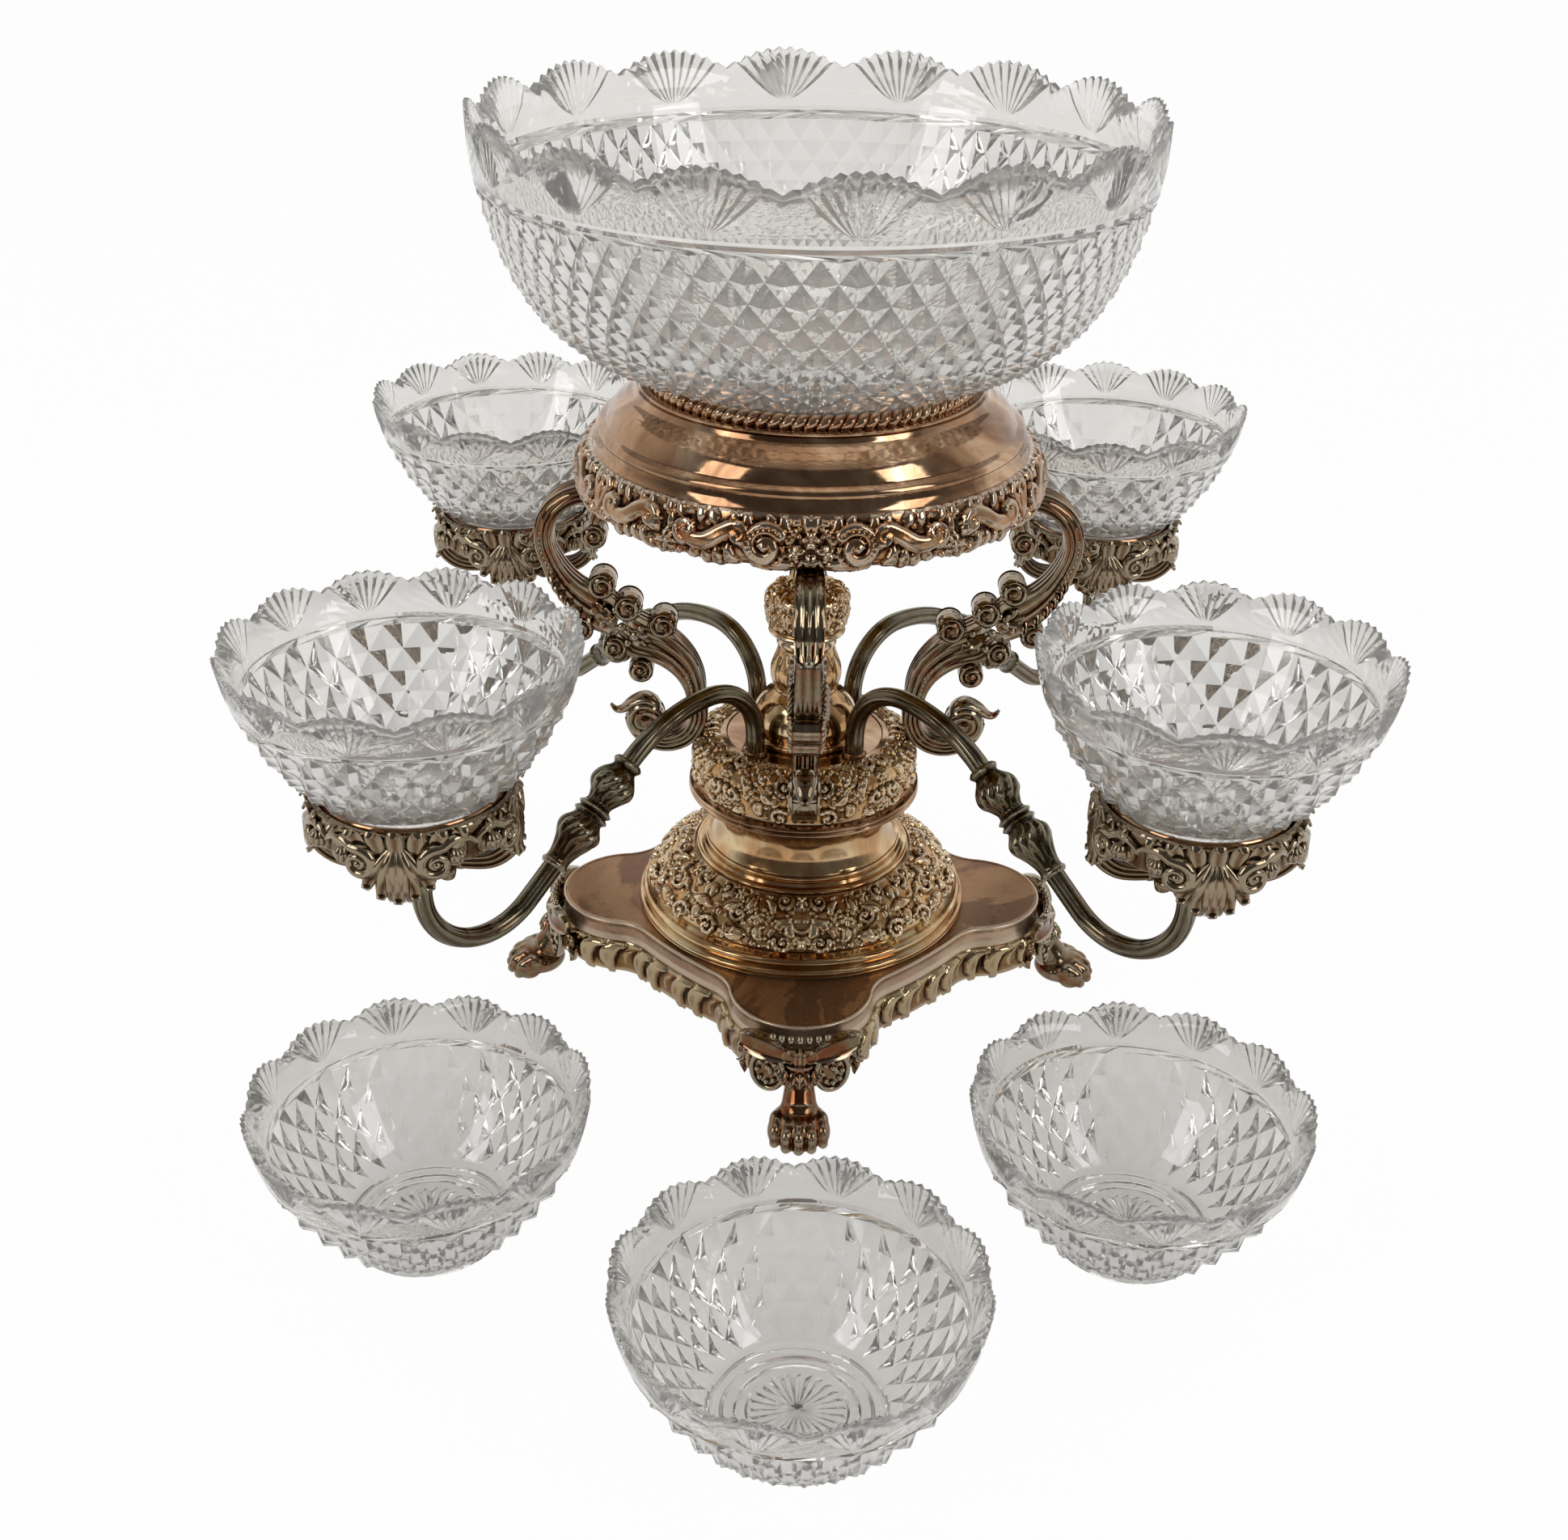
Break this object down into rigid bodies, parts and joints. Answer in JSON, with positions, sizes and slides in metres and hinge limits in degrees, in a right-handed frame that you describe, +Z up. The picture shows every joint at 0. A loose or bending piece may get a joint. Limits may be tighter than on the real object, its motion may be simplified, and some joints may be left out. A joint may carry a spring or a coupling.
{
  "type": "epergne",
  "caption": "Footed table centrepiece: a large scalloped cut-glass bowl on a column stand with scroll brackets, lift-out branches carrying small cut-glass bowls, and loose matching bowls.",
  "frame": {"origin": "on the stand's vertical axis at table level", "axes": "+Z up, -Y towards the front plinth corner and the loose bowls, +X towards the right plinth corner; branches on the diagonals"},
  "size_m": [0.4168, 0.5498, 0.393],
  "materials": {
    "spun_plate": "polished silver plate worn to warm copper",
    "cast_plate": "cast and chased, tarnished in the recesses",
    "plain_brass": "plain machined, hidden",
    "cut_glass": "colourless hand-cut lead glass, polished"
  },
  "bodies": {
    "stand": {"plinth": "spun_plate", "plinth_border": "cast_plate", "foot_front": "cast_plate", "foot_right": "cast_plate", "foot_back": "cast_plate", "foot_left": "cast_plate", "base_dome": "spun_plate", "base_frieze": "cast_plate", "drum": "spun_plate", "drum_frieze": "cast_plate", "socket_front_left": "spun_plate", "socket_front_right": "spun_plate", "socket_back_right": "spun_plate", "socket_back_left": "spun_plate", "bell": "spun_plate", "lower_knop": "cast_plate", "upper_knop": "cast_plate", "column_top": "spun_plate", "bracket_front": "cast_plate", "bracket_right": "cast_plate", "bracket_back": "cast_plate", "bracket_left": "cast_plate", "stand_pan": "plain_brass", "bowl_stand": "spun_plate", "stand_frieze": "cast_plate", "gadroon_collar": "cast_plate", "tie_rod": "plain_brass", "base_washer": "plain_brass", "base_nut": "plain_brass", "top_nut": "plain_brass"},
    "centre_glass": {"centre_bowl": "cut_glass"},
    "arm_front_left": {"branch_front_left": "spun_plate", "knops_front_left": "cast_plate", "calyx_front_left": "cast_plate", "cradle_front_left": "cast_plate", "ring_front_left": "spun_plate"},
    "side_glass_front_left": {"side_bowl_front_left": "cut_glass"},
    "arm_front_right": {"branch_front_right": "spun_plate", "knops_front_right": "cast_plate", "calyx_front_right": "cast_plate", "cradle_front_right": "cast_plate", "ring_front_right": "spun_plate"},
    "side_glass_front_right": {"side_bowl_front_right": "cut_glass"},
    "arm_back_right": {"branch_back_right": "spun_plate", "knops_back_right": "cast_plate", "calyx_back_right": "cast_plate", "cradle_back_right": "cast_plate", "ring_back_right": "spun_plate"},
    "side_glass_back_right": {"side_bowl_back_right": "cut_glass"},
    "arm_back_left": {"branch_back_left": "spun_plate", "knops_back_left": "cast_plate", "calyx_back_left": "cast_plate", "cradle_back_left": "cast_plate", "ring_back_left": "spun_plate"},
    "side_glass_back_left": {"side_bowl_back_left": "cut_glass"},
    "loose_glass_left": {"loose_bowl_left": "cut_glass"},
    "loose_glass_front": {"loose_bowl_front": "cut_glass"},
    "loose_glass_right": {"loose_bowl_right": "cut_glass"}
  },
  "joints": [
    {"name": "centre_bowl_lift", "type": "slide", "parent": "stand", "child": "centre_glass", "axis": [0, 0, 1], "range_m": [0, 0.08]},
    {"name": "arm_lift_front_left", "type": "slide", "parent": "stand", "child": "arm_front_left", "axis": [0, 0, 1], "range_m": [0, 0.025]},
    {"name": "side_bowl_lift_front_left", "type": "slide", "parent": "arm_front_left", "child": "side_glass_front_left", "axis": [0, 0, 1], "range_m": [0, 0.06]},
    {"name": "arm_lift_front_right", "type": "slide", "parent": "stand", "child": "arm_front_right", "axis": [0, 0, 1], "range_m": [0, 0.025]},
    {"name": "side_bowl_lift_front_right", "type": "slide", "parent": "arm_front_right", "child": "side_glass_front_right", "axis": [0, 0, 1], "range_m": [0, 0.06]},
    {"name": "arm_lift_back_right", "type": "slide", "parent": "stand", "child": "arm_back_right", "axis": [0, 0, 1], "range_m": [0, 0.025]},
    {"name": "side_bowl_lift_back_right", "type": "slide", "parent": "arm_back_right", "child": "side_glass_back_right", "axis": [0, 0, 1], "range_m": [0, 0.06]},
    {"name": "arm_lift_back_left", "type": "slide", "parent": "stand", "child": "arm_back_left", "axis": [0, 0, 1], "range_m": [0, 0.025]},
    {"name": "side_bowl_lift_back_left", "type": "slide", "parent": "arm_back_left", "child": "side_glass_back_left", "axis": [0, 0, 1], "range_m": [0, 0.06]},
    {"name": "loose_bowl_lift_left", "type": "slide", "parent": "stand", "child": "loose_glass_left", "axis": [0, 0, 1], "range_m": [0, 0.02]},
    {"name": "loose_bowl_lift_front", "type": "slide", "parent": "stand", "child": "loose_glass_front", "axis": [0, 0, 1], "range_m": [0, 0.1]},
    {"name": "loose_bowl_lift_right", "type": "slide", "parent": "stand", "child": "loose_glass_right", "axis": [0, 0, 1], "range_m": [0, 0.02]}
  ]
}
